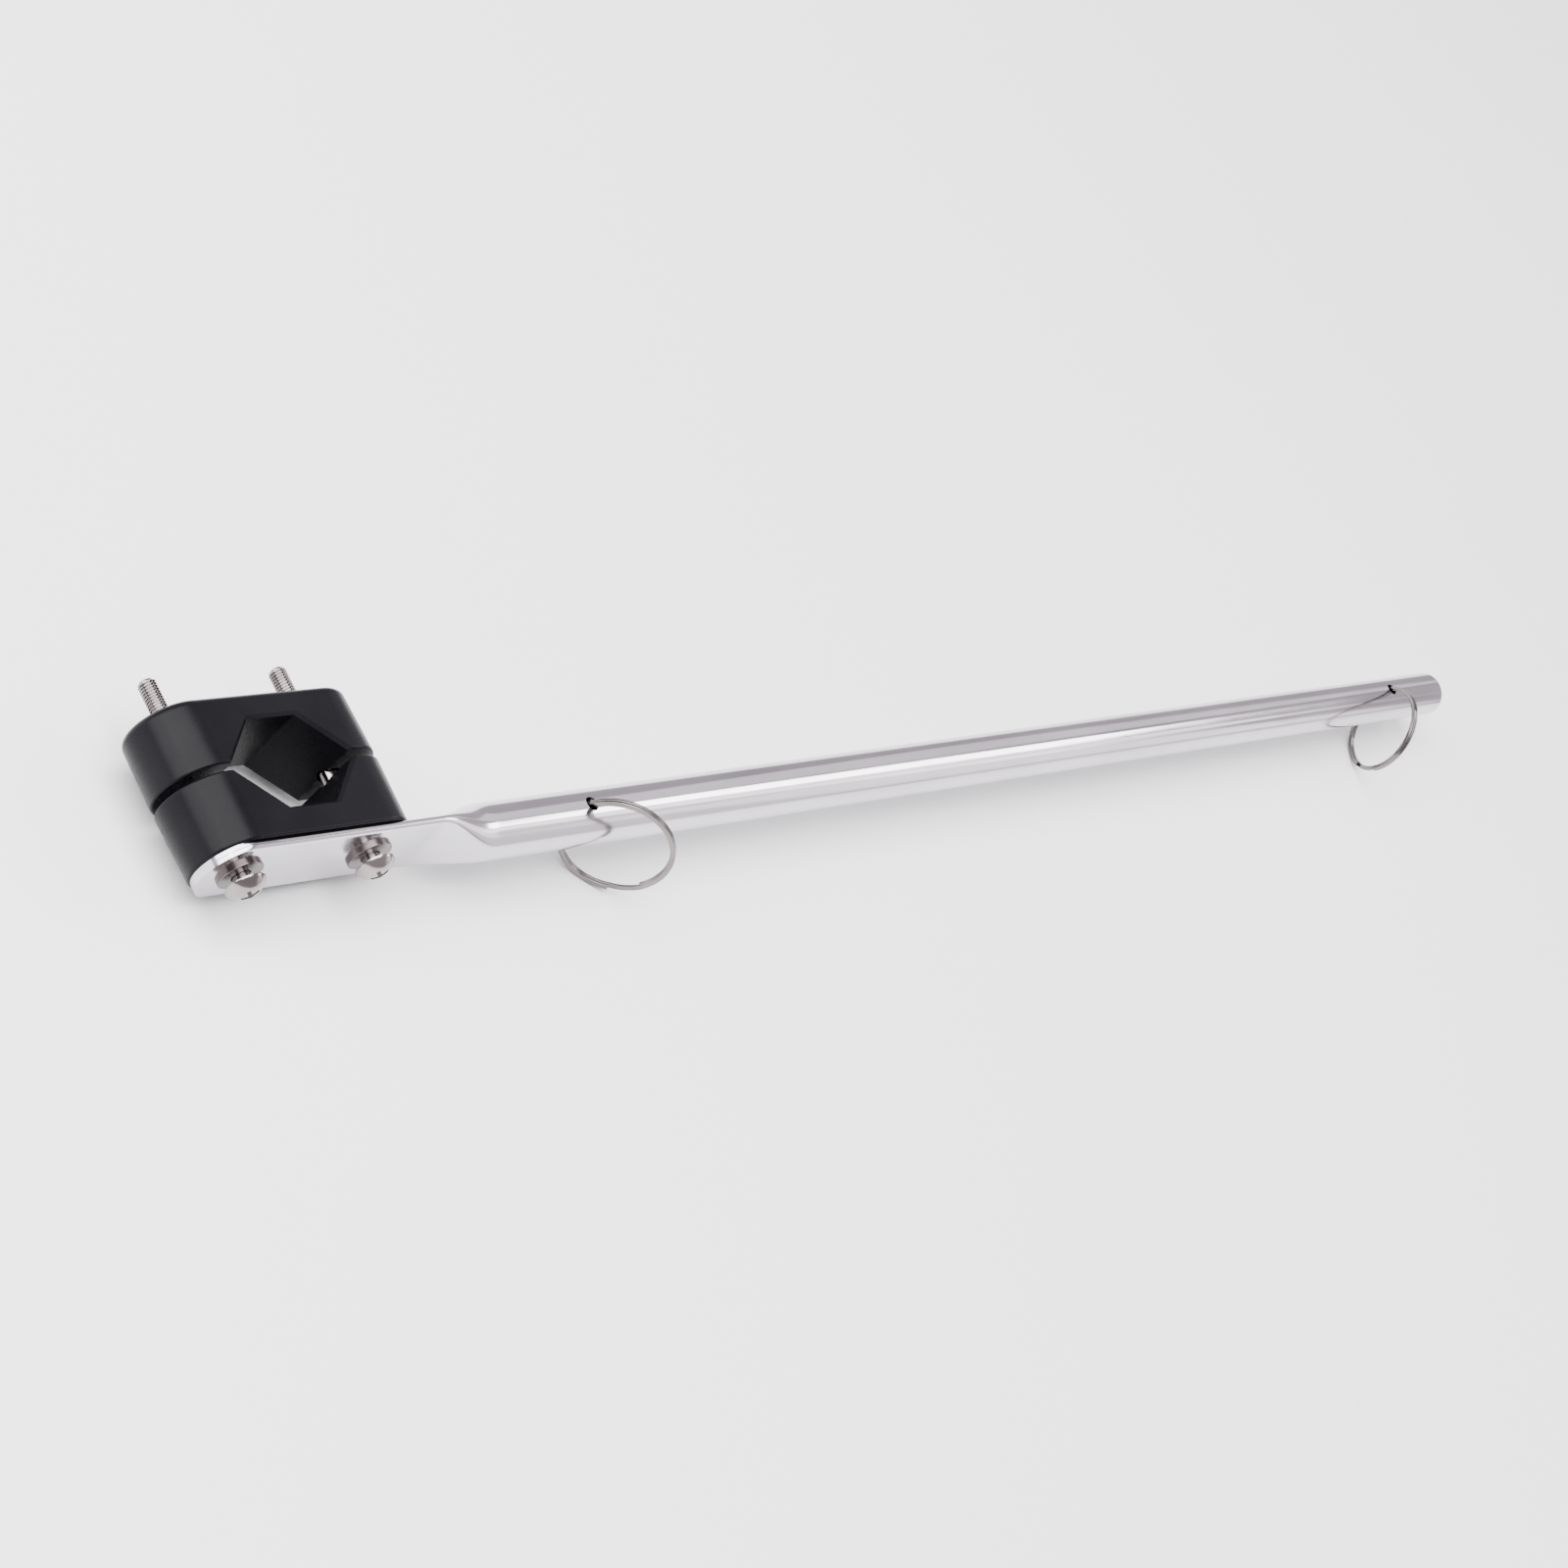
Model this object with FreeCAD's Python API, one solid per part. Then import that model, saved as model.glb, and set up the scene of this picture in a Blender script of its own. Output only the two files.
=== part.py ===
import FreeCAD, Part
import math
import os

from FreeCAD import Vector

# Rail-mount flag staff.
# The staff is a round stainless tube whose lower end is pressed flat and drilled for two screws.
# The screws pull two plastic clamp halves together round a rail that runs along Z.
# X runs along the staff, Y is square to the flat (the screw heads face -Y), Z is up.
# The origin is the middle of the rail opening. Sizes are in millimetres.

# ---- driving dimensions ----
STAFF_OD = 15.9            # 5/8 inch tube
WALL = 1.2
OVERALL = 610.0            # from the rounded tip of the flat to the end plug
RAIL_D = 25.4              # 1 inch rail
RAIL_SQUEEZE = 1.4         # the closed opening is this much smaller than the rail

SCREW_PITCH = 44.0         # distance between the two clamp screws
CLAMP_DEPTH = 26.0         # clamp size along the rail; its ends are full rounds of this width
HALF_HEIGHT = 19.6         # one clamp half, square to the flat
GAP = 2.0                  # parting gap as assembled
DRAFT = 0.35               # each half narrows this much, all round, from parting face to seat
NOTCH_MOUTH = 39.6         # rail channel at the parting face
NOTCH_FLOOR = 16.0
LEAD_IN = 0.7              # chamfer round both mouths of the rail channel
OUTER_RIM_R = 2.2          # rounding of the outer half's top edge
SEAT_RIM_R = 0.8           # rounding of the inner half's edge on the flat
PARTING_RIM_R = 0.6

SCREW_D = 5.0              # M5
SCREW_LENGTH = 60.0
SCREW_TIP = 0.8            # chamfer on the tip of the shank
HEAD_D = 11.6
HEAD_H = 3.5
HEAD_EDGE = 0.25           # land between the domed head's rim and its full diameter
RECESS_DEPTH = 2.3
RECESS_REACH = 2.9         # half the length of one arm of the driver recess
RECESS_WIDTH = 1.1
SCREW_BACKED_OUT = 2.4     # the heads stand this far off their washers until tightened
SCREW_HOLE_D = 5.6         # in the flat
CLAMP_HOLE_D = 6.4         # in the clamp halves
WASHER_D = 12.6
WASHER_T = 1.1
WASHER_EDGE_R = 0.3
NUT_AF = 8.0               # across flats
NUT_H = 4.7
NUT_SUNK = 0.3             # depth of the nut below the face of the outer half
NUT_PLAY = 0.2             # nut pocket is this much wider than the nut
THREAD_PLAY = 0.06

RING_MEAN_R = 15.9         # split ring, middle of its wire
RING_WIRE = 1.6            # radial size of the wire
RING_COIL = 0.95           # axial size of one of its two coils
RING_EDGE_R = 0.25
RING_BITE = 0.02           # the two coils run into each other by this much
RING_SLIT = 0.45           # gap at the end of each coil
RING_SLIT_AT = {-1: 118, 1: 152}
RING_HOLE_D = 4.3
RING_X = (101.0, 541.0)    # cross holes in the staff, lower and upper
RING_SWING = (45.0, -33.0) # each ring's turn about its cross hole, from square to the flat

PLUG_SKIRT = 14.0
PLUG_CROWN = 1.6
FLARE_LENGTH = 23.0        # from the flat to the full round
FLAT_PAST_CLAMP = 5.5
SEAM_TOLERANCE = 0.004     # lets the flare and the round tube share one edge

# ---- derived ----
NOTCH_DEPTH = (RAIL_D - RAIL_SQUEEZE) / 2
FLAT_T = 2 * WALL
FLAT_WIDTH = FLAT_T + math.pi * (STAFF_OD - FLAT_T) / 2
SEAT_Y = GAP / 2 + HALF_HEIGHT
AXIS_Y = -(SEAT_Y + FLAT_T / 2)
FLAT_OUTER_Y = -(SEAT_Y + FLAT_T)
WASHER_Y = FLAT_OUTER_Y - WASHER_T
HEAD_SEAT_Y = WASHER_Y - SCREW_BACKED_OUT
TIP_R = FLAT_WIDTH / 2 + 0.3        # round cut on the end of the flat
FLAT_TIP_X = -(SCREW_PITCH / 2 + TIP_R)
FLAT_END_X = SCREW_PITCH / 2 + CLAMP_DEPTH / 2 + FLAT_PAST_CLAMP
ROUND_START_X = FLAT_END_X + FLARE_LENGTH
STAFF_END_X = FLAT_TIP_X + OVERALL
NUT_Y = SEAT_Y - NUT_SUNK - NUT_H
SCREWS = {"outboard": -SCREW_PITCH / 2, "inboard": SCREW_PITCH / 2}

# Shares of the perimeter, tip to middle of the flat side, where a section's outline is fixed.
QUADRANT = (0.0, 0.01, 0.02, 0.03, 0.04, 0.06, 0.09, 0.13, 0.17, 0.21)


def squeezed_point(share, height, inset):
    """Point (y, z) at a share of the perimeter of a tube squeezed to a given height."""
    radius = height / 2
    straight = math.pi * (STAFF_OD - height) / 4
    run = share * math.pi * STAFF_OD
    arc = math.pi * radius / 2
    if run <= arc:
        angle = run / radius
        return (radius - inset) * math.sin(angle), straight + (radius - inset) * math.cos(angle)
    return radius - inset, straight - (run - arc)


def squeezed_section(x, height, inset=0.0):
    """Closed smooth outline of the squeezed tube at x; its perimeter stays that of the tube."""
    quarters = [(share, 1, 1) for share in QUADRANT]
    quarters += [(0.25, 1, 1)]
    quarters += [(share, 1, -1) for share in reversed(QUADRANT)]
    quarters += [(share, -1, -1) for share in QUADRANT[1:]]
    quarters += [(0.25, -1, 1)]
    quarters += [(share, -1, 1) for share in reversed(QUADRANT[1:])]
    points = []
    for share, side_y, side_z in quarters:
        y, z = squeezed_point(share, height, inset)
        points.append(Vector(x, AXIS_Y + side_y * y, side_z * z))
    quadrant = list(QUADRANT) + [0.25]
    first_half = quadrant + [0.5 - share for share in reversed(QUADRANT)]
    knots = first_half + [0.5 + share for share in first_half[1:]]
    curve = Part.BSplineCurve()
    curve.interpolate(Points=points, PeriodicFlag=True, Parameters=knots)
    return Part.Wire([curve.toShape()])


def squeeze_height(share):
    """Height of the tube along the flare: 0 is flat, 1 is fully round."""
    ease = share * share * (3 - 2 * share)
    return FLAT_T + (STAFF_OD - FLAT_T) * ease


def flare_body(shares, inset=0.0):
    """Solid through the squeezed sections at the given shares of the flare's length."""
    sections = []
    for share in shares:
        x = FLAT_END_X + share * FLARE_LENGTH
        sections.append(squeezed_section(x, squeeze_height(share), inset))
    return Part.makeLoft(sections, True, False)


def cylinder_x(x0, length, radius):
    """Cylinder along the staff's axis."""
    return Part.makeCylinder(radius, length, Vector(x0, AXIS_Y, 0), Vector(1, 0, 0))


def cylinder_y(x, y0, length, radius):
    """Cylinder along a screw's axis."""
    return Part.makeCylinder(radius, length, Vector(x, y0, 0), Vector(0, 1, 0))


def edges_at(shape, axis, place):
    """Edges that lie wholly in the plane where the given coordinate has the given value."""
    found = []
    for edge in shape.Edges:
        box = edge.BoundBox
        low, high = getattr(box, axis + "Min"), getattr(box, axis + "Max")
        if abs(low - place) < 0.01 and abs(high - place) < 0.01:
            found.append(edge)
    return found


def make_pressed_end():
    """The flat: a solid seam of both walls, cut to a round at its tip."""
    run = FLAT_END_X - FLAT_TIP_X + 1
    flat = Part.Face(squeezed_section(FLAT_TIP_X - 1, FLAT_T)).extrude(Vector(run, 0, 0))
    corner = Part.makeBox(TIP_R + 2, FLAT_T + 2, 2 * TIP_R + 4,
                          Vector(FLAT_TIP_X - 2, FLAT_OUTER_Y - 1, -TIP_R - 2))
    corner = corner.cut(cylinder_y(SCREWS["outboard"], FLAT_OUTER_Y - 2, FLAT_T + 4, TIP_R))
    return flat.cut(corner)


def make_staff():
    """Tube, its flare and pressed end, two screw holes and two ring holes."""
    flare = flare_body([step / 10 for step in range(11)])
    flare = flare.cut(flare_body([step / 10 for step in range(2, 11)], WALL))
    length = STAFF_END_X - ROUND_START_X
    tube = cylinder_x(ROUND_START_X, length, STAFF_OD / 2)
    tube = tube.cut(cylinder_x(ROUND_START_X - 1, length + 2, STAFF_OD / 2 - WALL))
    staff = make_pressed_end().fuse([flare, tube], SEAM_TOLERANCE)
    for x in SCREWS.values():
        staff = staff.cut(cylinder_y(x, FLAT_OUTER_Y - 1, FLAT_T + 2, SCREW_HOLE_D / 2))
    for x in RING_X:
        start = Vector(x, AXIS_Y, -STAFF_OD / 2 - 1)
        staff = staff.cut(Part.makeCylinder(RING_HOLE_D / 2, STAFF_OD + 2, start))
    return staff


def make_end_plug():
    """Pressed-in plug with a low crown that closes the top of the staff."""
    radius = STAFF_OD / 2
    plug = cylinder_x(STAFF_END_X - PLUG_SKIRT, PLUG_SKIRT, radius - WALL)
    lip = cylinder_x(STAFF_END_X, PLUG_CROWN, radius)
    lip = lip.makeFillet(PLUG_CROWN - 0.1, edges_at(lip, "X", STAFF_END_X + PLUG_CROWN))
    hollow = cylinder_x(STAFF_END_X - PLUG_SKIRT - 1, PLUG_SKIRT, radius - 2 * WALL)
    return plug.fuse(lip).cut(hollow)


def drafted_block():
    """Full-round block on the plane y = 0, narrowing by DRAFT towards y = HALF_HEIGHT."""
    wide = CLAMP_DEPTH / 2
    narrow = wide - DRAFT
    corners = [(0, -wide), (0, wide), (HALF_HEIGHT, narrow), (HALF_HEIGHT, -narrow), (0, -wide)]
    outline = Part.makePolygon([Vector(-SCREW_PITCH / 2, y, z) for y, z in corners])
    block = Part.Face(outline).extrude(Vector(SCREW_PITCH, 0, 0))
    for x in SCREWS.values():
        end = Part.makeCone(wide, narrow, HALF_HEIGHT, Vector(x, 0, 0), Vector(0, 1, 0))
        block = block.fuse(end)
    return block.removeSplitter()


def channel_outline(z, grow=0.0):
    """Trapezoid of the rail channel at z, with its three walls moved outwards by grow."""
    lean = math.atan2(NOTCH_DEPTH, (NOTCH_MOUTH - NOTCH_FLOOR) / 2)
    below = 2.0
    mouth = NOTCH_MOUTH / 2 + below / math.tan(lean) + grow / math.sin(lean)
    floor = NOTCH_FLOOR / 2 + grow * math.tan(lean / 2)
    top = NOTCH_DEPTH + grow
    corners = [(-mouth, -below), (-floor, top), (floor, top), (mouth, -below), (-mouth, -below)]
    return Part.makePolygon([Vector(x, y, z) for x, y in corners])


def channel():
    """Straight channel for the rail, open at the parting face."""
    return Part.Face(channel_outline(-CLAMP_DEPTH)).extrude(Vector(0, 0, 2 * CLAMP_DEPTH))


def lead_in(side):
    """Chamfer cutter for one mouth of the rail channel."""
    face_z = side * (CLAMP_DEPTH / 2 - DRAFT)
    inside = channel_outline(face_z - side * LEAD_IN)
    outside = channel_outline(face_z + side * 2 * LEAD_IN, 3 * LEAD_IN)
    return Part.makeLoft([inside, outside], True, True)


def make_half(rim_radius):
    """One clamp half in its mould position: parting face on y = 0, seat at y = HALF_HEIGHT."""
    half = drafted_block()
    half = half.makeFillet(rim_radius, edges_at(half, "Y", HALF_HEIGHT))
    half = half.makeFillet(PARTING_RIM_R, edges_at(half, "Y", 0))
    half = half.cut(channel())
    for side in (-1, 1):
        half = half.cut(lead_in(side))
    for x in SCREWS.values():
        half = half.cut(cylinder_y(x, -1, HALF_HEIGHT + 2, CLAMP_HOLE_D / 2))
    return half


def hexagon(x, y0, height, across_flats):
    """Six-sided prism on a screw's axis."""
    radius = across_flats / math.sqrt(3)
    points = []
    for step in range(7):
        angle = math.radians(60 * step)
        points.append(Vector(x + radius * math.cos(angle), y0, radius * math.sin(angle)))
    return Part.Face(Part.makePolygon(points)).extrude(Vector(0, height, 0))


def make_outer_half():
    """Half that faces away from the staff, with a pocket that keeps each nut from turning."""
    half = make_half(OUTER_RIM_R)
    pocket = NUT_H + NUT_SUNK
    for x in SCREWS.values():
        half = half.cut(hexagon(x, HALF_HEIGHT - pocket, pocket + 1, NUT_AF + NUT_PLAY))
    half.translate(Vector(0, GAP / 2, 0))
    return half


def make_inner_half():
    """Half that sits on the flat of the staff."""
    half = make_half(SEAT_RIM_R)
    half.rotate(Vector(0, 0, 0), Vector(0, 0, 1), 180)
    half.translate(Vector(0, -GAP / 2, 0))
    return half


def make_nut(x):
    """Hex nut with its outward corners chamfered."""
    nut = hexagon(x, NUT_Y, NUT_H, NUT_AF)
    full = NUT_AF / 2 + NUT_H
    small = NUT_AF / 2 - 0.2
    rounded = Part.makeCone(full, small, full - small, Vector(x, NUT_Y + NUT_H - (full - small), 0),
                            Vector(0, 1, 0))
    nut = nut.common(rounded)
    return nut.cut(cylinder_y(x, NUT_Y - 1, NUT_H + 2, SCREW_D / 2 + THREAD_PLAY))


def make_washer(x):
    """Flat washer that lies on the flat under a screw head, its outer edge rounded."""
    disc = cylinder_y(x, WASHER_Y, WASHER_T, WASHER_D / 2)
    disc = disc.makeFillet(WASHER_EDGE_R, edges_at(disc, "Y", WASHER_Y))
    return disc.cut(cylinder_y(x, WASHER_Y - 1, WASHER_T + 2, SCREW_HOLE_D / 2))


def cross_recess(x):
    """Tapered four-way driver recess, sunk from the crown of the head."""
    half_width = RECESS_WIDTH / 2
    recess = None
    for angle in (45, 135):
        arm = Part.makeWedge(-RECESS_REACH, 0, -half_width, -half_width + 0.1, -1.0,
                             RECESS_REACH, RECESS_DEPTH, half_width, half_width - 0.1, 1.0)
        arm.rotate(Vector(0, 0, 0), Vector(0, 1, 0), angle)
        recess = arm if recess is None else recess.fuse(arm)
    recess.translate(Vector(x, HEAD_SEAT_Y - HEAD_H, 0))
    return recess


def make_screw(x):
    """Machine screw: low domed head with a cross recess, plain shank, chamfered tip."""
    sphere_r = (HEAD_D ** 2 / 4 + HEAD_H ** 2) / (2 * HEAD_H)
    dome = Part.makeSphere(sphere_r, Vector(x, HEAD_SEAT_Y - HEAD_H + sphere_r, 0))
    rim = cylinder_y(x, HEAD_SEAT_Y - HEAD_H, HEAD_H, HEAD_D / 2 - HEAD_EDGE)
    head = dome.common(rim).cut(cross_recess(x))
    tip_y = HEAD_SEAT_Y + SCREW_LENGTH - SCREW_TIP
    shank = cylinder_y(x, HEAD_SEAT_Y - 0.5, tip_y - HEAD_SEAT_Y + 0.5, SCREW_D / 2)
    tip = Part.makeCone(SCREW_D / 2, SCREW_D / 2 - SCREW_TIP, SCREW_TIP, Vector(x, tip_y, 0),
                        Vector(0, 1, 0))
    return head.fuse([shank, tip])


def coil(side):
    """One of the two coils that lie against each other in a split ring, about the X axis."""
    middle = side * (RING_COIL - RING_BITE) / 2
    left, right = middle - RING_COIL / 2, middle + RING_COIL / 2
    inner = RING_MEAN_R - RING_WIRE / 2
    outer = RING_MEAN_R + RING_WIRE / 2
    corners = [(left, inner), (right, inner), (right, outer), (left, outer), (left, inner)]
    outline = Part.makePolygon([Vector(x, 0, z) for x, z in corners])
    turn = Part.Face(outline).revolve(Vector(0, 0, 0), Vector(1, 0, 0), 360)
    return turn.makeFillet(RING_EDGE_R, [edge for edge in turn.Edges if edge.isClosed()])


def slit(side):
    """Cutter for the gap where one coil's wire ends."""
    width = 0.8 * RING_COIL
    start = Vector(side * 0.55 * RING_COIL - width / 2, -RING_SLIT / 2, RING_MEAN_R - RING_WIRE)
    cutter = Part.makeBox(width, RING_SLIT, 2 * RING_WIRE, start)
    cutter.rotate(Vector(0, 0, 0), Vector(1, 0, 0), RING_SLIT_AT[side])
    return cutter


def make_ring(x, swing):
    """Split ring threaded through a cross hole, swung about that hole's axis."""
    ring = coil(-1).fuse(coil(1)).cut([slit(-1), slit(1)])
    wall_middle = STAFF_OD / 2 - WALL / 2
    hang = math.sqrt(RING_MEAN_R ** 2 - wall_middle ** 2)
    ring.translate(Vector(0, -hang, 0))
    ring.rotate(Vector(0, 0, 0), Vector(0, 0, 1), swing)
    ring.translate(Vector(x, AXIS_Y, 0))
    return ring


def make_all():
    """Every piece of the flag staff, by name."""
    parts = {
        "staff_tube": make_staff(),
        "end_plug": make_end_plug(),
        "clamp_half_inner": make_inner_half(),
        "clamp_half_outer": make_outer_half(),
    }
    for name, x in SCREWS.items():
        parts["screw_" + name] = make_screw(x)
        parts["washer_" + name] = make_washer(x)
        parts["nut_" + name] = make_nut(x)
    for name, x, swing in zip(("lower", "upper"), RING_X, RING_SWING):
        parts["flag_ring_" + name] = make_ring(x, swing)
    return parts


def save(name, shape):
    shape.exportStep(os.path.join("parts", name + ".step"))
    print(f"{name}: {len(shape.Solids)} solid, {shape.Volume:.1f} mm3, valid {shape.isValid()}")


os.makedirs("parts", exist_ok=True)
for part_name, part_shape in make_all().items():
    save(part_name, part_shape)
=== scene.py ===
# %% [markdown]
# # A rail-mount flag staff
#
# A flag staff for a boat's rail: a polished stainless tube, pressed flat at its foot, that two screws
# hold against a two-piece plastic clamp. The clamp closes round a horizontal rail, and two split rings
# threaded through the tube carry the flag. The pieces could be placed by typing in numbers, but the
# packed model already holds each one where it belongs, so the first step is to load it and to keep its
# overall box. Every later place is worked out from those boxes.

# %% Load the packed model
import math

import bmesh
import bpy
from mathutils import Matrix, Vector


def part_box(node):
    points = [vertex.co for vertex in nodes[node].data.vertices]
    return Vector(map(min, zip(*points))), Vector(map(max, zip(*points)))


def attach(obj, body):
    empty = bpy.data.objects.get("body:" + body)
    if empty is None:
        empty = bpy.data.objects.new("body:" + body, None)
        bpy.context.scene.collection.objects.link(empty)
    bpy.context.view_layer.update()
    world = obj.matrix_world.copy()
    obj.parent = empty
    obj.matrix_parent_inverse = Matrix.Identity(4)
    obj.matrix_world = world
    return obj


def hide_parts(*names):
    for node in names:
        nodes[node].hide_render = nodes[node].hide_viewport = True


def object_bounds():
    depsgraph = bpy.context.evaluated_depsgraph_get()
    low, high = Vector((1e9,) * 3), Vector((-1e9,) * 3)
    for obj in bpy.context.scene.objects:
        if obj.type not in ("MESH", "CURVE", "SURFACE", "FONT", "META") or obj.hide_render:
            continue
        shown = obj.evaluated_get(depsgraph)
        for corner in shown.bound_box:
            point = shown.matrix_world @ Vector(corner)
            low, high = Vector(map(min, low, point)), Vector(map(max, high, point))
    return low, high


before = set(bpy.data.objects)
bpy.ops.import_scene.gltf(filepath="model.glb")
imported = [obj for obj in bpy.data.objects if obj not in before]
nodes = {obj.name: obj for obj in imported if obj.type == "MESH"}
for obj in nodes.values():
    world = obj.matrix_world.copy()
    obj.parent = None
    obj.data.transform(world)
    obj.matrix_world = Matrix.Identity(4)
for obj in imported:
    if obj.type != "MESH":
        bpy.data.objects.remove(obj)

cad_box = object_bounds()
MM = 0.001
print("pieces from the packed model:", len(nodes))

# %% [markdown]
# ## A kit for surface finishes
#
# Real finishes are never even: polish leaves faint hairlines, moulded plastic carries a fine grain, and
# hands leave patches that are a little duller. Painted images could show this, but they would have to be
# unwrapped onto every piece. Noise needs no unwrapping and works at any distance, so each finish starts
# from one shader and adds noise at the scale that the real surface shows. It is always measured in
# object space, so that the pattern stays on the piece when the piece moves.

# %% Start a finish
def new_finish(name):
    """An empty node material: its node tree, its shader and its object coordinates."""
    material = bpy.data.materials.new(name)
    material.use_nodes = True
    tree = material.node_tree
    shader = tree.nodes["Principled BSDF"]
    coords = tree.nodes.new("ShaderNodeTexCoord")
    return material, tree, shader, coords.outputs["Object"]


print("a finish starts from:", new_finish.__doc__)

# %% Noise with a grain
def noise(tree, coords, scale, stretch=(1, 1, 1), detail=3.0):
    """Noise whose grain can be drawn out along an axis; scale is in grains per metre."""
    mapping = tree.nodes.new("ShaderNodeMapping")
    mapping.inputs["Scale"].default_value = stretch
    tree.links.new(coords, mapping.inputs["Vector"])
    texture = tree.nodes.new("ShaderNodeTexNoise")
    texture.inputs["Scale"].default_value = scale
    texture.inputs["Detail"].default_value = detail
    tree.links.new(mapping.outputs["Vector"], texture.inputs["Vector"])
    return texture.outputs["Fac"]


print("noise scale is in grains per metre")

# %% Turn noise into numbers and colours
def spread(tree, value, low, high, start=0.3, end=0.7):
    """Map a noise value onto a chosen range."""
    node = tree.nodes.new("ShaderNodeMapRange")
    node.inputs["From Min"].default_value = start
    node.inputs["From Max"].default_value = end
    node.inputs["To Min"].default_value = low
    node.inputs["To Max"].default_value = high
    tree.links.new(value, node.inputs["Value"])
    return node.outputs["Result"]


def tint(tree, value, dark, light):
    """Blend two colours by a noise value."""
    node = tree.nodes.new("ShaderNodeMix")
    node.data_type = "RGBA"
    node.inputs["A"].default_value = (*dark, 1)
    node.inputs["B"].default_value = (*light, 1)
    tree.links.new(value, node.inputs["Factor"])
    return node.outputs["Result"]


print("noise between 0.3 and 0.7 covers a whole range")

# %% Raise the surface
def bump(tree, shader, value, depth, strength=1.0, under=None):
    """Raise the surface by a noise value; depth is in metres."""
    node = tree.nodes.new("ShaderNodeBump")
    node.inputs["Distance"].default_value = depth
    node.inputs["Strength"].default_value = strength
    tree.links.new(value, node.inputs["Height"])
    if under is not None:
        tree.links.new(under, node.inputs["Normal"])
    tree.links.new(node.outputs["Normal"], shader.inputs["Normal"])
    return node.outputs["Normal"]


print("bump depth is in metres")

# %% [markdown]
# ## Polished stainless steel
#
# The tube is buffed along its length after it is drawn, so the hairlines run along X and the polish is a
# little duller in long patches. An anisotropic shader could stretch the highlights, but it would hide the
# hairlines themselves. Noise drawn out along the tube gives both the hairlines and the patches, and two
# close colours keep the metal from looking like one flat grey. The same recipe serves the plug, the
# fasteners, the spring wire and the washers, each darker or duller than the tube.

# %% The recipe for steel
MOTTLE_SCALE = 60
PATCH_SCALE = 140
HAIRLINE_SCALE = 9000
WAVE_SCALE = 45
WAVE_DEPTH = 0.00002


def steel(name, dark, light, dull, hairline, along=(0.02, 1, 1)):
    """Polished steel: mottled tint, uneven polish and fine hairlines along one axis."""
    material, tree, shader, coords = new_finish(name)
    shader.inputs["Metallic"].default_value = 1.0
    mottle = noise(tree, coords, MOTTLE_SCALE, (0.35, 1, 1), 4)
    tree.links.new(tint(tree, spread(tree, mottle, 0, 1), dark, light), shader.inputs["Base Color"])
    patches = noise(tree, coords, PATCH_SCALE, (0.12, 1, 1), 5)
    tree.links.new(spread(tree, patches, dull[0], dull[1]), shader.inputs["Roughness"])
    lines = noise(tree, coords, HAIRLINE_SCALE, along, 2)
    waves = noise(tree, coords, WAVE_SCALE, (0.3, 1, 1), 1)
    smooth = bump(tree, shader, waves, WAVE_DEPTH, 0.15)
    bump(tree, shader, lines, hairline, 0.35, smooth)
    return material


print("hairlines per metre:", HAIRLINE_SCALE)

# %% The steel finishes
staff_steel = steel("polished_tube", (0.50, 0.470, 0.500), (0.61, 0.580, 0.608), (0.10, 0.17),
                    0.0000015)
plug_steel = steel("polished_plug", (0.42, 0.395, 0.415), (0.52, 0.495, 0.515), (0.12, 0.22),
                   0.000002)
fastener_steel = steel("bright_fastener", (0.22, 0.195, 0.190), (0.40, 0.370, 0.360), (0.09, 0.20),
                       0.000003, (1, 0.05, 1))
ring_steel = steel("spring_wire", (0.10, 0.090, 0.088), (0.25, 0.230, 0.225), (0.10, 0.22), 0.000002,
                   (1, 1, 0.2))
# The washers' near-black steel is painted shade and painted reflection: it stands in for the shade under
# the screw heads and the heads' dark reflection in the flat.
washer_painted_shade_steel = steel("washer_painted_shade", (0.075, 0.062, 0.060), (0.17, 0.150, 0.145), (0.16, 0.30),
                     0.000004, (1, 1, 1))
print("steel finishes:", staff_steel.name, plug_steel.name, fastener_steel.name, ring_steel.name,
      washer_painted_shade_steel.name)

# %% [markdown]
# ## Black moulded nylon
#
# The clamp halves are taken to be moulded in glass-filled nylon. The mould gives them a fine even grain,
# and the plastic's flow leaves faint cloudy marks. A plain dark colour with one roughness would look like
# paint. Black plastic in a bright room is light only where it is glossy, so the base is very dark, the
# specular level is low, and the grain varies the roughness.

# %% The recipe for nylon
CLOUD_SCALE = 55
GRAIN_SCALE = 2600
COARSE_SCALE = 420


def nylon(name):
    """Satin black plastic: cloudy tint, grainy roughness and two scales of bump."""
    material, tree, shader, coords = new_finish(name)
    clouds = noise(tree, coords, CLOUD_SCALE, (1, 1, 0.5), 4)
    tree.links.new(tint(tree, spread(tree, clouds, 0, 1), (0.0026, 0.0025, 0.0036),
                        (0.0052, 0.0050, 0.0064)), shader.inputs["Base Color"])
    grain = noise(tree, coords, GRAIN_SCALE, (1, 1, 1), 2)
    tree.links.new(spread(tree, grain, 0.26, 0.38), shader.inputs["Roughness"])
    coarse = bump(tree, shader, noise(tree, coords, COARSE_SCALE, (1, 1, 1), 2), 0.00002, 0.3)
    bump(tree, shader, grain, 0.00001, 0.4, coarse)
    shader.inputs["Specular IOR Level"].default_value = 0.09
    return material


black_nylon = nylon("black_nylon")
print("plastic finish:", black_nylon.name)

# %% Give every packed piece its finish
FINISHES = {"staff_steel": staff_steel, "plug_steel": plug_steel, "clamp_plastic": black_nylon,
            "fastener_steel": fastener_steel, "ring_steel": ring_steel}
for node in nodes.values():
    finish = FINISHES[node.material_slots[0].name]
    # the washers take the near-black steel that paints the shade and the dark reflection round the screw
    # heads
    node.material_slots[0].material = washer_painted_shade_steel if node.name.startswith("washer") else finish
print("finishes on", len(nodes), "pieces")
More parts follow.
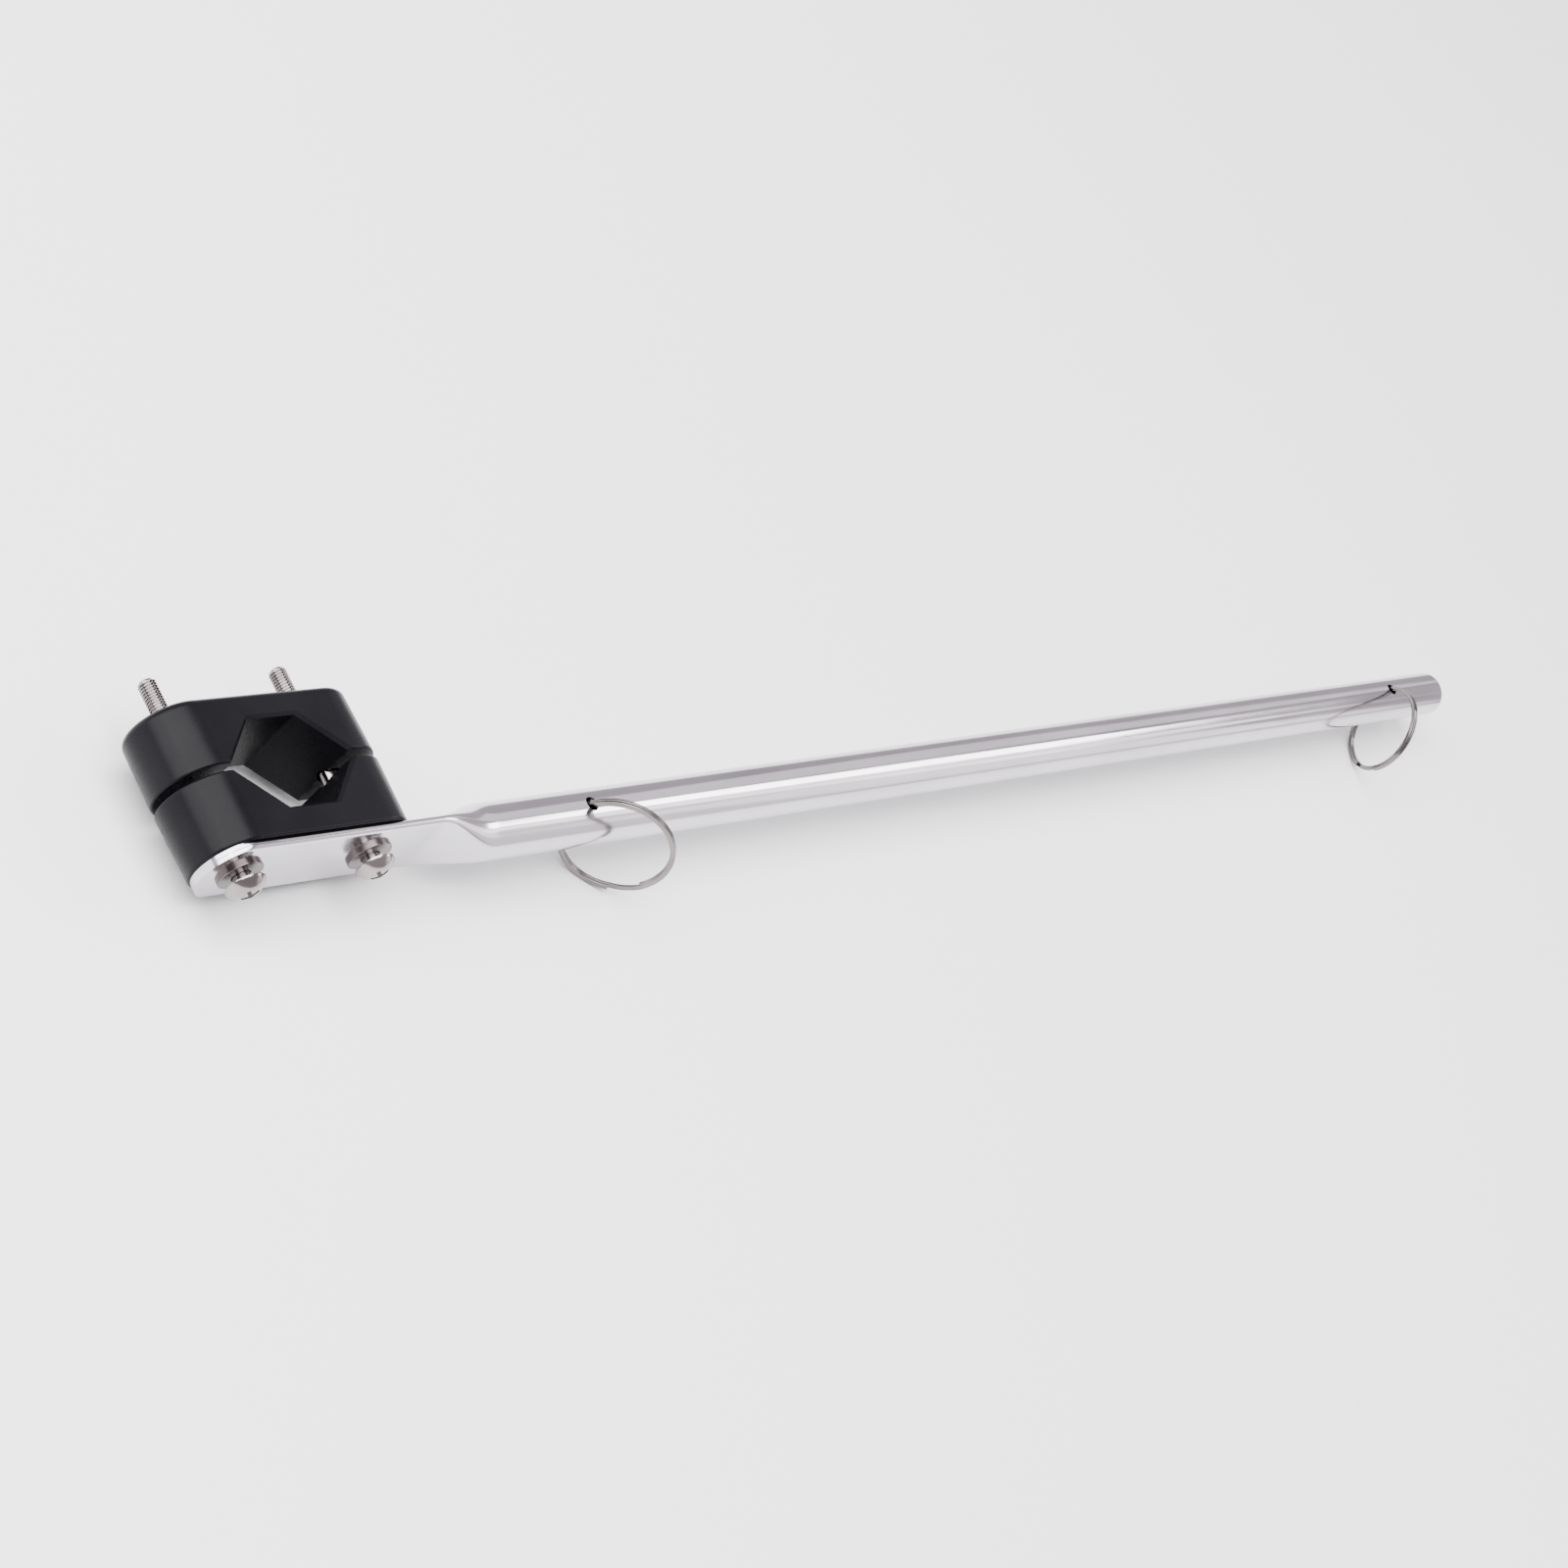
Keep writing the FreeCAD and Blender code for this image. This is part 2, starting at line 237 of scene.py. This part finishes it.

# %% [markdown]
# ## A helper for new pieces
#
# The clamp halves, washers, nuts and plug look right as packed. The staff, the rings and the screws are
# modelled again here, for the seam at the tip, the wire's crossover and the threads, which the packed
# solids leave out. Each new mesh could be dressed by hand, but one helper keeps them alike: the mesh
# becomes an object at the origin, gets its finish, rides its body and hides the packed pieces it
# replaces.

# %% Finish a modelled piece
def finish_piece(name, mesh, material, body, slot, *replaced, sharp=35):
    """Turn a bmesh into a smooth-shaded object that rides a body and replaces packed pieces."""
    data = bpy.data.meshes.new(name)
    bmesh.ops.recalc_face_normals(mesh, faces=mesh.faces)
    for edge in mesh.edges:
        if len(edge.link_faces) == 2:
            edge.smooth = edge.calc_face_angle(0) < math.radians(sharp)
    for face in mesh.faces:
        face.smooth = True
    mesh.to_mesh(data)
    mesh.free()
    piece = bpy.data.objects.new(name, data)
    bpy.context.scene.collection.objects.link(piece)
    data.materials.append(material)
    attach(piece, body)
    if replaced:
        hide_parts(*replaced)
    print(f"{name}: {len(data.polygons)} faces")
    return piece


print("edges sharper than 35 degrees stay crisp")

# %% [markdown]
# ## The staff, drawn as one skin
#
# The tube's foot is pressed flat in a die, so every section keeps the tube's perimeter: two half rounds
# joined by two straights. A cylinder and a plate joined together would show a seam at the flare. Instead
# one outline is extruded through a row of sections: from the round-cut tip, along the flat, through the
# flare to the round tube, round its open end and back inside the bore. Where the tip is cut, the fine
# groove between the two pressed walls shows.

# %% The staff's sizes
WALL = 1.2 * MM
STAFF_R = 7.95 * MM
AXIS_Y = -21.8 * MM
FLAT_T = 2 * WALL
PERIMETER = 2 * math.pi * STAFF_R
FLAT_END_X, ROUND_START_X = 40.5 * MM, 63.5 * MM
BORE_START_X = 52.0 * MM
TIP_CENTRE_X = -22.0 * MM
TIP_R = 12.10 * MM
RING_HOLE_R = 2.15 * MM
SCREW_HOLE_R = 2.8 * MM
SEAM_DEPTH = 0.25 * MM
print("perimeter of the tube in mm:", round(PERIMETER / MM, 2))

# %% Points round one section
EDGE_STEPS = 8
SIDE_STEPS = 20
SEAM_SHARE = 0.06          # how far from the edge the seam's groove begins, as a share of the edge


def quarter_shares():
    """Shares of the perimeter from the section's edge to the middle of its flat side."""
    edge = FLAT_T / 2 * math.pi / 2 / PERIMETER
    rounded = [0, edge * SEAM_SHARE] + [edge * step / EDGE_STEPS for step in range(1, EDGE_STEPS)]
    return rounded + [edge + (0.25 - edge) * step / SIDE_STEPS for step in range(SIDE_STEPS + 1)]


def squeezed_point(share, height, inset=0.0):
    """Point (y, z) at a share of the perimeter of the tube squeezed to a height."""
    radius = height / 2
    straight = (PERIMETER - math.pi * height) / 4
    run, arc = share * PERIMETER, math.pi * radius / 2
    if run <= arc:
        angle = run / radius
        return (radius - inset) * math.sin(angle), straight + (radius - inset) * math.cos(angle)
    return radius - inset, straight - (run - arc)


print("points in a quarter of a section:", len(quarter_shares()))

# %% One whole section
def section(x, height, inset=0.0, limit=None):
    """Whole outline of one section; a limit trims it to the round-cut tip's width."""
    quarter = [squeezed_point(share, height, inset) for share in quarter_shares()]
    if limit is not None:
        straight = (PERIMETER - math.pi * height) / 4
        scale = min(1, limit / straight)
        quarter = [(y, min(z * scale if z <= straight else z, limit)) for y, z in quarter]
        quarter[0] = (0.0, quarter[0][1] - SEAM_DEPTH)
    outline = quarter + [(y, -z) for y, z in reversed(quarter[:-1])]
    outline += [(-y, -z) for y, z in quarter[1:]]
    outline += [(-y, z) for y, z in reversed(quarter[1:-1])]
    return [Vector((x, AXIS_Y + y, z)) for y, z in outline]


print("points in a whole section:", len(section(ROUND_START_X, 2 * STAFF_R)))

# %% The row of sections
TIP_STEPS = 18
FLAT_STEPS = 12
FLARE_STEPS = 48
TUBE_STEPS = 130
BORE_FLARE_STEPS = 12


def flare_height(x):
    """Height of the section at a place between the flat and the round tube."""
    share = (x - FLAT_END_X) / (ROUND_START_X - FLAT_END_X)
    return FLAT_T + (2 * STAFF_R - FLAT_T) * share * share * (3 - 2 * share)


def staff_sections():
    """All sections in order: tip, flat, flare, tube, then back down the bore."""
    rows = []
    for step in range(1, TIP_STEPS + 1):
        angle = math.radians(90 / TIP_STEPS * step)
        rows.append(section(TIP_CENTRE_X - TIP_R * math.cos(angle), FLAT_T,
                            limit=TIP_R * math.sin(angle)))
    for step in range(1, FLAT_STEPS + 1):
        rows.append(section(TIP_CENTRE_X + (FLAT_END_X - TIP_CENTRE_X) * step / FLAT_STEPS, FLAT_T))
    for step in range(1, FLARE_STEPS + 1):
        x = FLAT_END_X + (ROUND_START_X - FLAT_END_X) * step / FLARE_STEPS
        rows.append(section(x, flare_height(x)))
    end_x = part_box("staff_tube")[1].x
    for step in range(1, TUBE_STEPS + 1):
        x = ROUND_START_X + (end_x - ROUND_START_X) * step / TUBE_STEPS
        rows.append(section(x, 2 * STAFF_R))
    for step in range(TUBE_STEPS + 1):
        x = end_x - (end_x - ROUND_START_X) * step / TUBE_STEPS
        rows.append(section(x, 2 * STAFF_R, WALL))
    for step in range(1, BORE_FLARE_STEPS + 1):
        x = ROUND_START_X - (ROUND_START_X - BORE_START_X) * step / BORE_FLARE_STEPS
        rows.append(section(x, flare_height(x), WALL))
    return rows


print("sections along the staff:", len(staff_sections()))

# %% Extrude the outline through the sections
MERGE_DISTANCE = 1e-7


def skin(mesh, rows):
    """Extrude one closed outline through all the sections and close both ends."""
    place = mesh.verts.layers.int.new("place")
    outline = bmesh.ops.create_circle(mesh, segments=len(rows[0]), radius=1)["verts"]
    for number, vert in enumerate(outline):
        vert[place] = number
        vert.co = rows[0][number]
    edges = mesh.edges[:]
    for row in rows[1:]:
        grown = bmesh.ops.extrude_edge_only(mesh, edges=edges)["geom"]
        edges = [part for part in grown if isinstance(part, bmesh.types.BMEdge) and part.is_boundary]
        for part in grown:
            if isinstance(part, bmesh.types.BMVert):
                part.co = row[part[place]]
    bmesh.ops.remove_doubles(mesh, verts=mesh.verts, dist=MERGE_DISTANCE)
    bmesh.ops.dissolve_degenerate(mesh, dist=MERGE_DISTANCE, edges=mesh.edges)
    bmesh.ops.holes_fill(mesh, edges=mesh.edges, sides=0)
    bmesh.ops.recalc_face_normals(mesh, faces=mesh.faces)


staff_mesh = bmesh.new()
skin(staff_mesh, staff_sections())
print("faces in the staff before drilling:", len(staff_mesh.faces))

# %% [markdown]
# ## Holes through the staff
#
# The rings hang in small cross holes, and the clamp's screws pass through the flat. A hole could be left
# out of the extrusion, but that would need a special section at each one. Cutting it with a solid drill
# is what the workshop does, and the boolean leaves the same clean edge.

# %% Drill a mesh
HOLE_SEGMENTS = 48


def drilled(mesh, holes):
    """The same mesh with a hole through it for each (x, radius, tilt of the drill from Z)."""
    data = bpy.data.meshes.new("undrilled")
    mesh.to_mesh(data)
    mesh.free()
    body = bpy.data.objects.new("undrilled", data)
    bpy.context.scene.collection.objects.link(body)
    drills = []
    for number, (x, radius, tilt) in enumerate(holes):
        place = Matrix.Translation((x, AXIS_Y, 0)) @ Matrix.Rotation(math.radians(tilt), 4, "X")
        tool = bmesh.new()
        bmesh.ops.create_cone(tool, cap_ends=True, segments=HOLE_SEGMENTS, radius1=radius,
                              radius2=radius, depth=3 * STAFF_R, matrix=place)
        tool_data = bpy.data.meshes.new("drill")
        tool.to_mesh(tool_data)
        tool.free()
        drill = bpy.data.objects.new(f"drill_{number}", tool_data)
        bpy.context.scene.collection.objects.link(drill)
        cut = body.modifiers.new("hole", "BOOLEAN")
        cut.operation = "DIFFERENCE"
        cut.object = drill
        drills.append(drill)
    graph = bpy.context.evaluated_depsgraph_get()
    result = bmesh.new()
    result.from_object(body, graph)
    for spare in [body, *drills]:
        bpy.data.objects.remove(spare)
    return result


print("ring holes and screw holes in mm:", 2 * RING_HOLE_R / MM, 2 * SCREW_HOLE_R / MM)

# %% Find the ring holes
RING_R = 15.9 * MM
RING_HANG = math.sqrt(RING_R ** 2 - (STAFF_R - WALL / 2) ** 2)
LOWER_SWING, UPPER_SWING = 45, -33


def hole_x(node, swing):
    """Where a ring's hole is, from the ring's own box and its swing."""
    low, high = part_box(node)
    return (low.x + high.x) / 2 - RING_HANG * math.sin(math.radians(swing))


lower_x = hole_x("flag_ring_lower", LOWER_SWING)
upper_x = hole_x("flag_ring_upper", UPPER_SWING)
print("ring holes at", round(lower_x, 4), round(upper_x, 4))

# %% Drill the staff and finish it
screw_boxes = [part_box(name) for name in ("screw_outboard", "screw_inboard")]
screw_x = [(low.x + high.x) / 2 for low, high in screw_boxes]
holes = [(x, RING_HOLE_R, 0) for x in (lower_x, upper_x)]
holes += [(x, SCREW_HOLE_R, 90) for x in screw_x]
finish_piece("staff_skin", drilled(staff_mesh, holes), staff_steel, "staff", "staff_steel",
             "staff_tube")
print("screw holes at", [round(x, 4) for x in screw_x])

# %% [markdown]
# ## Split rings
#
# A split ring is one flat wire wound twice. Its two coils lie against each other and the wire steps
# across from one to the other in a short crossover, with a cut end on each side of it. A torus would
# lose all of that. A rectangle with rounded corners is spun round the ring's axis instead: once flat,
# then across the crossover with a rise of one wire, then flat again. The crossover sits away from the
# staff.

# %% The wire's sizes
WIRE_RADIAL = 1.6 * MM
WIRE_AXIAL = 0.93 * MM
EDGE_R = 0.25 * MM
CROSSOVER = (118, 152)     # where the wire steps across, in degrees round the ring
TURN_STEPS = 109
CROSSOVER_STEPS = 12
print("outside diameter of a ring in mm:", (2 * RING_R + WIRE_RADIAL) / MM)

# %% Spin with a rise
def spun(mesh, geom, degrees, steps, rise=0.0):
    """Spin geometry about X through the origin, with a rise along X; gives back the far end."""
    step = Vector((rise / steps, 0, 0))
    return bmesh.ops.spin(mesh, geom=geom, cent=(0, 0, 0), axis=(1, 0, 0), dvec=step,
                          angle=math.radians(degrees), steps=steps)["geom_last"]


print("rise of the wire at the crossover in mm:", WIRE_AXIAL / MM)

# %% Wind the split rings
def split_ring(name, node, body, x, swing):
    """Wind the wire twice about X, hang it in its hole and swing it about Z."""
    mesh = bmesh.new()
    start = (Matrix.Rotation(math.radians(CROSSOVER[1]), 4, "X")
             @ Matrix.Translation((-WIRE_AXIAL / 2, 0, RING_R))
             @ Matrix.Rotation(math.radians(90), 4, "X")
             @ Matrix.Diagonal((WIRE_AXIAL, WIRE_RADIAL, 1, 1)))
    bmesh.ops.create_grid(mesh, x_segments=1, y_segments=1, size=0.5, matrix=start)
    bmesh.ops.bevel(mesh, geom=mesh.verts[:], offset=EDGE_R, offset_type="OFFSET", affect="VERTICES",
                    segments=3, profile=0.5, material=-1)
    crossover = CROSSOVER[1] - CROSSOVER[0]
    wire = mesh.verts[:] + mesh.edges[:] + mesh.faces[:]
    wire = spun(mesh, wire, 360 - crossover, TURN_STEPS)
    wire = spun(mesh, wire, crossover, CROSSOVER_STEPS, WIRE_AXIAL)
    spun(mesh, wire, 360 - crossover, TURN_STEPS)
    place = (Matrix.Translation((x, AXIS_Y, 0)) @ Matrix.Rotation(math.radians(swing), 4, "Z")
             @ Matrix.Translation((0, -RING_HANG, 0)))
    bmesh.ops.transform(mesh, matrix=place, verts=mesh.verts)
    return finish_piece(name, mesh, ring_steel, body, "ring_steel", node)


split_ring("ring_lower_wire", "flag_ring_lower", "ring_lower", lower_x, LOWER_SWING)
split_ring("ring_upper_wire", "flag_ring_upper", "ring_upper", upper_x, UPPER_SWING)

# %% [markdown]
# ## Machine screws with a rolled thread
#
# The packed screws have the right head and a plain shank. A real M5 screw has a rolled thread: a ridge
# that climbs 0.8 mm each turn. Stacked rings or a bump pattern would look similar from far away, but
# neither climbs. Here the profile of one ridge is spun round the screw with a rise of one pitch per turn,
# which makes a true helix, and the thread is cut square at both ends and chamfered at the tip. The head
# is taken from the packed screw, cut off just under its seat.

# %% The screw's sizes
PITCH = 0.8 * MM
HEAD_H = 3.5 * MM
SCREW_R = 2.5 * MM
THREAD_DEPTH = 0.42 * MM
THREAD_START_Y = 3.0 * MM
TIP_CHAMFER = 0.8 * MM
AROUND = 40                # faces round the shank
THREAD_MERGE = 2e-6
print("thread depth as a share of the pitch:", round(THREAD_DEPTH / PITCH, 2))

# %% Wind the thread
def wind_thread(mesh, x, tip_y):
    """Spin one ridge's profile up the screw, then cut it square at both ends and chamfer the tip."""
    root = SCREW_R - THREAD_DEPTH
    profile = [(SCREW_R, 0), (SCREW_R, 0.17), (root, 0.58), (root, 0.59), (SCREW_R, 1)]
    verts = [mesh.verts.new((x + radius, THREAD_START_Y + (share - 1) * PITCH, 0))
             for radius, share in profile]
    edges = [mesh.edges.new(pair) for pair in zip(verts, verts[1:])]
    turns = math.ceil((tip_y - THREAD_START_Y) / PITCH) + 1
    bmesh.ops.spin(mesh, geom=verts + edges, cent=(x, 0, 0), axis=(0, 1, 0),
                   dvec=(0, PITCH / AROUND, 0), angle=2 * math.pi * turns, steps=AROUND * turns)
    bmesh.ops.remove_doubles(mesh, verts=mesh.verts, dist=THREAD_MERGE)
    for y, side in ((THREAD_START_Y, -1), (tip_y, 1)):
        everything = mesh.verts[:] + mesh.edges[:] + mesh.faces[:]
        bmesh.ops.bisect_plane(mesh, geom=everything, plane_co=(x, y, 0), plane_no=(0, side, 0),
                               clear_outer=True)
    for vert in mesh.verts:
        allowed = SCREW_R - TIP_CHAMFER + tip_y - vert.co.y
        radius = math.hypot(vert.co.x - x, vert.co.z)
        if radius > allowed:
            vert.co.x = x + (vert.co.x - x) * allowed / radius
            vert.co.z *= allowed / radius
    bmesh.ops.holes_fill(mesh, edges=mesh.edges, sides=0)


# %% Take the head from the packed screw
HEAD_MERGE = 1e-6
HEAD_STUB = 0.2 * MM       # how much of the shank stays on the head
SHANK_OVERLAP = 0.1 * MM   # how far under the seat the plain shank starts


def add_head(mesh, node, x, seat_y):
    """Copy the packed screw, cut its shank off and add what is left to the mesh."""
    head = bmesh.new()
    head.from_mesh(nodes[node].data)
    bmesh.ops.remove_doubles(head, verts=head.verts, dist=HEAD_MERGE)
    everything = head.verts[:] + head.edges[:] + head.faces[:]
    bmesh.ops.bisect_plane(head, geom=everything, plane_co=(x, seat_y + HEAD_STUB, 0),
                           plane_no=(0, 1, 0), clear_outer=True)
    bmesh.ops.holes_fill(head, edges=head.edges, sides=0)
    head_data = bpy.data.meshes.new("head")
    head.to_mesh(head_data)
    head.free()
    mesh.from_mesh(head_data)
    bpy.data.meshes.remove(head_data)


print("height of a head in mm:", HEAD_H / MM)

# %% Build the two screws
def machine_screw(name, node, body):
    """Helical thread, a plain shank above it and the head from the packed screw."""
    low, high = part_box(node)
    x, tip_y = (low.x + high.x) / 2, high.y
    seat_y = low.y + HEAD_H
    mesh = bmesh.new()
    wind_thread(mesh, x, tip_y)
    add_head(mesh, node, x, seat_y)
    shank_start = seat_y + SHANK_OVERLAP
    place = (Matrix.Translation((x, (shank_start + THREAD_START_Y) / 2, 0))
             @ Matrix.Rotation(math.radians(90), 4, "X"))
    bmesh.ops.create_cone(mesh, cap_ends=True, segments=AROUND, radius1=SCREW_R, radius2=SCREW_R,
                          depth=THREAD_START_Y - shank_start, matrix=place)
    return finish_piece(name, mesh, fastener_steel, body, "fastener_steel", node, sharp=50)


machine_screw("screw_outboard_threaded", "screw_outboard", "screw_outboard")
machine_screw("screw_inboard_threaded", "screw_inboard", "screw_inboard")

# %% [markdown]
# ## The studio
#
# Polished steel shows nothing but its surroundings, so the studio is arranged for what the tube should
# reflect. A tube mirrors the camera onto a cone of directions round its own length, and a lamp shows in
# the tube only if it stands on that cone. Lamps put elsewhere would light the plastic and leave the steel
# grey. Five softboxes stand on the cone: one small and bright for the crisp band along the tube, and four
# broad and dim for the soft shades beside it. Two more, above and to the left, light the plastic and the
# floor. The floor is pale, at the level of the lowest pieces.

# %% The floor
FLOOR_CLEARANCE = 0.0002
FLOOR_REACH = 6.0
floor_mesh = bpy.data.meshes.new("floor")
floor_z = cad_box[0][2] - FLOOR_CLEARANCE
floor_shape = bmesh.new()
bmesh.ops.create_grid(floor_shape, x_segments=1, y_segments=1, size=FLOOR_REACH,
                      matrix=Matrix.Translation((0, 0, floor_z)))
floor_shape.to_mesh(floor_mesh)
floor_shape.free()
floor = bpy.data.objects.new("floor", floor_mesh)
bpy.context.scene.collection.objects.link(floor)
paper, tree, shader, coords = new_finish("pale_floor")
soft = noise(tree, coords, 3, (1, 1, 1), 2)
tree.links.new(tint(tree, soft, (0.88, 0.88, 0.89), (0.92, 0.92, 0.92)), shader.inputs["Base Color"])
shader.inputs["Roughness"].default_value = 0.9
shader.inputs["Specular IOR Level"].default_value = 0.1
floor_mesh.materials.append(paper)
print("floor at", round(floor_z, 4))

# %% The room's light
ROOM_COLOR = (0.92, 0.86, 0.93, 1)
ROOM_STRENGTH = 0.78
world = bpy.data.worlds.new("studio")
bpy.context.scene.world = world
world.use_nodes = True
background = world.node_tree.nodes["Background"]
background.inputs["Color"].default_value = ROOM_COLOR
background.inputs["Strength"].default_value = ROOM_STRENGTH
print("room light:", ROOM_STRENGTH)

# %% Place a softbox
STAFF_MIDDLE = Vector((0.25, AXIS_Y, 0))


def softbox(name, direction, distance, size, power, color=(1, 1, 1)):
    """Rectangular light at a distance from the middle of the staff, facing it."""
    data = bpy.data.lights.new(name, "AREA")
    data.shape = "RECTANGLE"
    data.size, data.size_y = size
    data.energy = power
    data.color = color
    light = bpy.data.objects.new(name, data)
    light.location = STAFF_MIDDLE + Vector(direction).normalized() * distance
    light.rotation_euler = (STAFF_MIDDLE - light.location).to_track_quat("-Z", "X").to_euler()
    bpy.context.scene.collection.objects.link(light)
    return light


print("softboxes face", tuple(round(value, 3) for value in STAFF_MIDDLE))

# %% Directions that the tube mirrors to the camera
CONE_ALONG = 0.766         # how much of each direction runs along the staff
CONE_ACROSS = math.sqrt(1 - CONE_ALONG ** 2)


def cone(angle):
    """Direction on the cone that the tube mirrors to the camera; angle is from up towards +Y."""
    turn = math.radians(angle)
    return CONE_ALONG, CONE_ACROSS * math.sin(turn), CONE_ACROSS * math.cos(turn)


print("the cone opens by", round(math.degrees(math.acos(CONE_ALONG)), 1), "degrees")

# %% The lights
softbox("haze", cone(30), 2.2, (1.2, 0.8), 2.6)
softbox("band", cone(-7), 2.2, (0.62, 0.55), 13)
softbox("shoulder", cone(-27), 2.2, (0.9, 0.5), 3.8, (1, 0.98, 0.975))
softbox("near", cone(-48), 2.2, (1.6, 0.6), 3.6, (1, 0.96, 0.955))
softbox("low", cone(-76), 2.2, (1.6, 1.1), 5.5, (0.96, 0.95, 1))
softbox("top", (-0.4, 0.1, 1.0), 2.0, (2.2, 2.2), 150)
softbox("left", (-1.0, 0.4, 0.5), 2.2, (1.2, 1.2), 40)

# %% [markdown]
# ## The camera
#
# The camera stands beyond the clamp's outboard end, above the floor and on the side of the screw heads,
# and looks along the staff with a long lens. A short lens would make the clamp huge and the far ring
# tiny. The camera could be turned by angles, but three vectors are easier to read: where it is, what it
# looks at, and which way is up in the picture. That last one rolls it, so that the staff climbs gently to
# the right and the screws' tips point up.

# %% Set up the camera
camera_data = bpy.data.cameras.new("camera")
camera_data.sensor_width = 36
camera_data.lens = 78.9
camera_data.clip_start = 0.01
camera = bpy.data.objects.new("camera", camera_data)
camera_at = Vector((-0.5872, -0.3043, 0.5818))
aim = Vector((0.0821, -0.0607, 0.0823))
picture_up = Vector((0.0921, 0.8408, 0.5334))
forward = (aim - camera_at).normalized()
right = forward.cross(picture_up).normalized()
up = right.cross(forward)
turned = Matrix((right, up, -forward)).transposed().to_4x4()
camera.matrix_world = Matrix.Translation(camera_at) @ turned
bpy.context.scene.collection.objects.link(camera)
bpy.context.scene.camera = camera
print("camera lens", camera_data.lens)

# %% [markdown]
# ## Close
